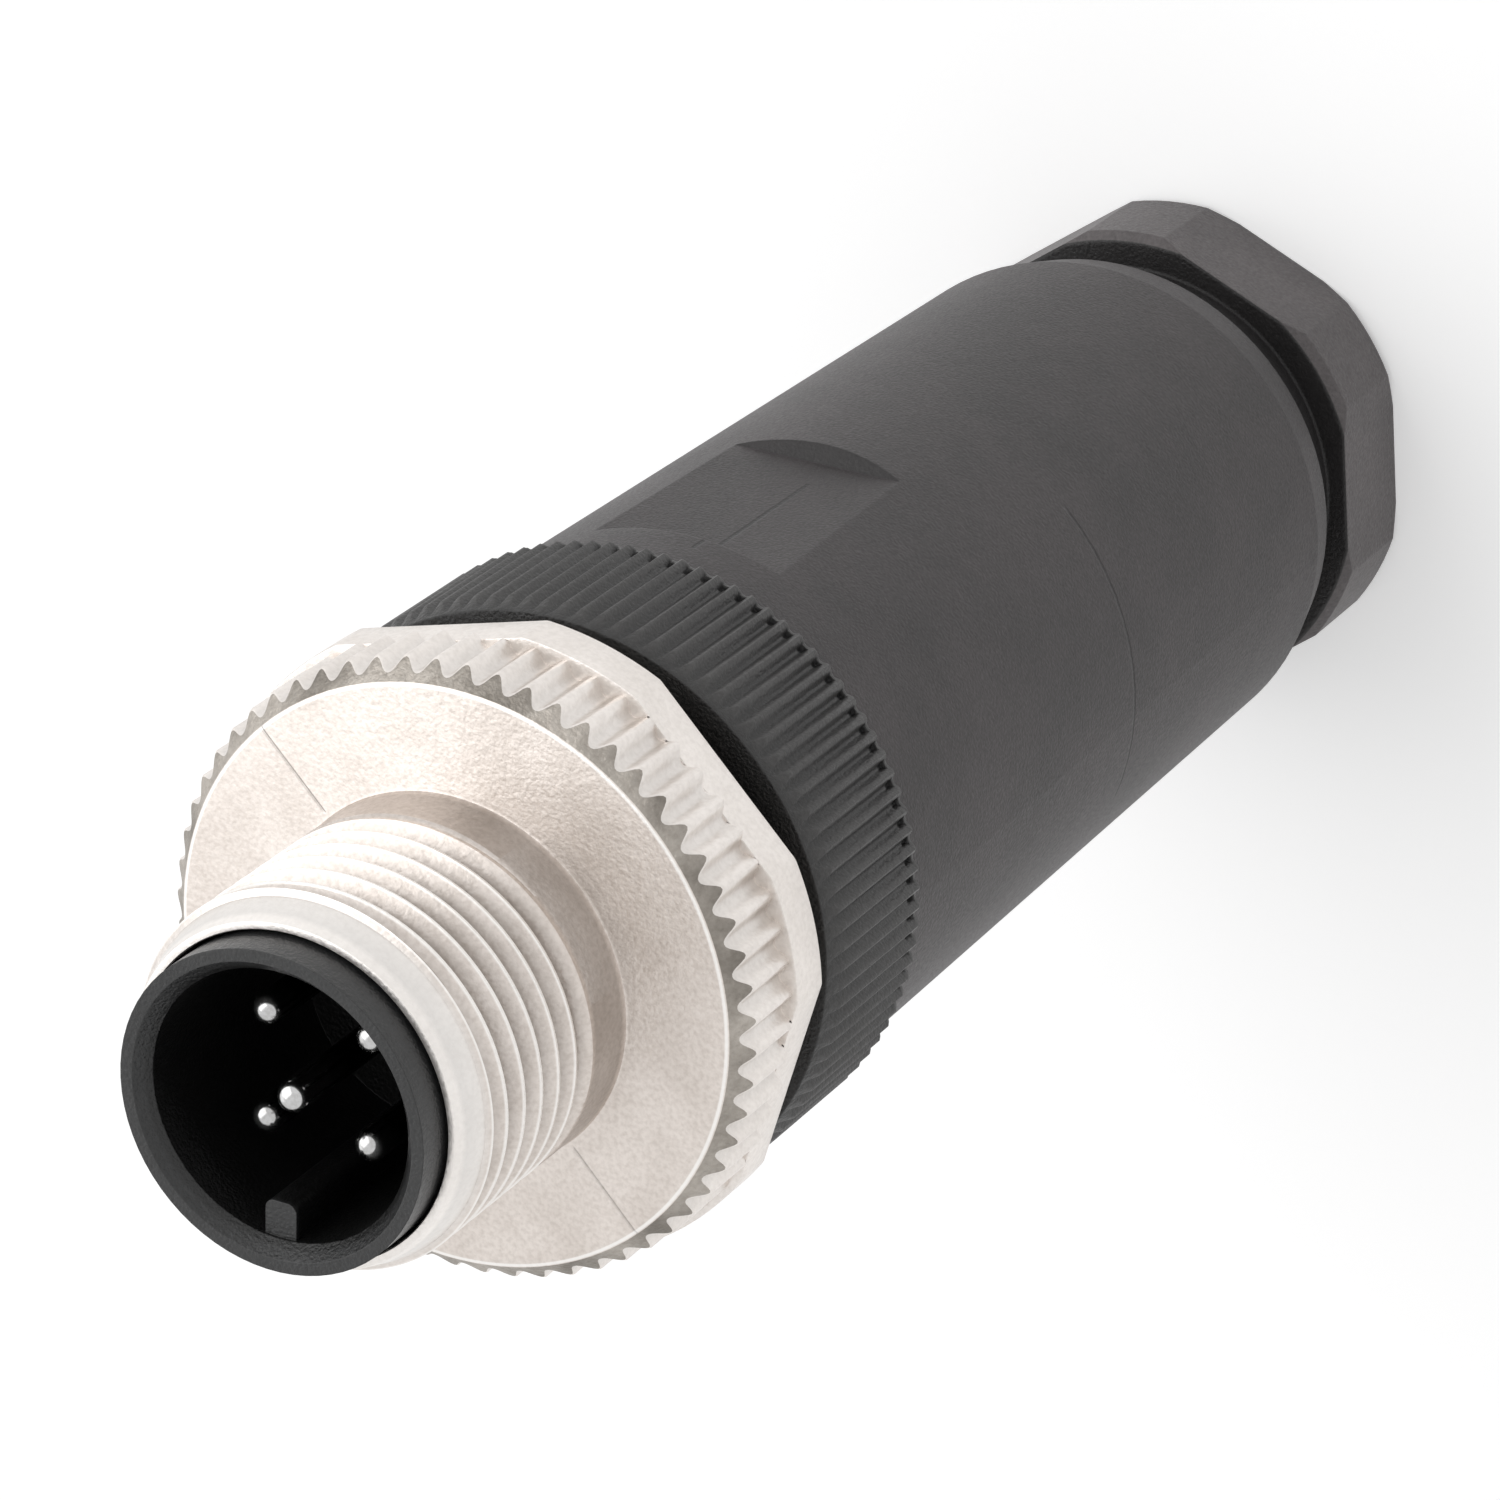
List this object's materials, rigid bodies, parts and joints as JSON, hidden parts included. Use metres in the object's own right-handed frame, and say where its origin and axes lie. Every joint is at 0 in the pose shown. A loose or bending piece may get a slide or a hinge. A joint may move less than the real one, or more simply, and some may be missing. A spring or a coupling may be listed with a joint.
{
  "type": "circular cable plug",
  "caption": "Straight circular cable plug with a metal coupling screw, pins in an open collar, a ridged dark sleeve and a hexagonal gland nut.",
  "frame": {"origin": "middle of the gland nut's rear face, on the plug axis", "axes": "+Z along the plug axis from the gland nut to the pins, +Y through the middle of one wrench flat, coding key at -Y"},
  "size_m": [0.0206, 0.0206, 0.0628],
  "materials": {
    "plated_metal": "satin nickel plate over brass",
    "insert_plastic": "moulded, fine matt",
    "contact_metal": "bright plated",
    "screw_steel": "zinc plated",
    "carrier_plastic": "moulded, fine matt",
    "seal_rubber": "smooth rubber",
    "body_plastic": "moulded, matt grain",
    "bush_rubber": "smooth rubber",
    "cage_plastic": "moulded, plain"
  },
  "bodies": {
    "sleeve": {"sleeve": "body_plastic", "cable_seal": "bush_rubber"},
    "seal_ring": {"o_ring": "seal_rubber"},
    "carrier": {"contact_carrier": "carrier_plastic", "contact_insert": "insert_plastic", "contact_pin_1": "contact_metal", "contact_pin_2": "contact_metal", "contact_pin_3": "contact_metal", "contact_pin_4": "contact_metal", "contact_pin_5": "contact_metal", "terminal_screws": "screw_steel"},
    "coupling": {"coupling_screw": "plated_metal"},
    "cage": {"clamp_cage": "cage_plastic"},
    "nut": {"gland_nut": "body_plastic"}
  },
  "joints": [
    {"name": "carrier_lift", "type": "slide", "parent": "sleeve", "child": "seal_ring", "axis": [0, 0, 1], "range_m": [0, 0.0041]},
    {"name": "carrier_turn", "type": "hinge", "parent": "seal_ring", "child": "carrier", "pos_m": [0, 0, 0.0376], "axis": [0, 0, 1], "range_deg": [0, 1440]},
    {"name": "coupling_turn", "type": "hinge", "parent": "carrier", "child": "coupling", "pos_m": [0, 0, 0.0505], "axis": [0, 0, 1], "continuous": true},
    {"name": "nut_lift", "type": "slide", "parent": "sleeve", "child": "cage", "axis": [0, 0, -1], "range_m": [0, 0.0057]},
    {"name": "nut_turn", "type": "hinge", "parent": "cage", "child": "nut", "pos_m": [0, 0, 0.01], "axis": [0, 0, -1], "range_deg": [0, 1440]}
  ],
  "couplings": [
    {"joint": "carrier_lift", "follows": "carrier_turn", "m_per_rad": 0.00015915},
    {"joint": "nut_lift", "follows": "nut_turn", "m_per_rad": 0.00022441}
  ]
}
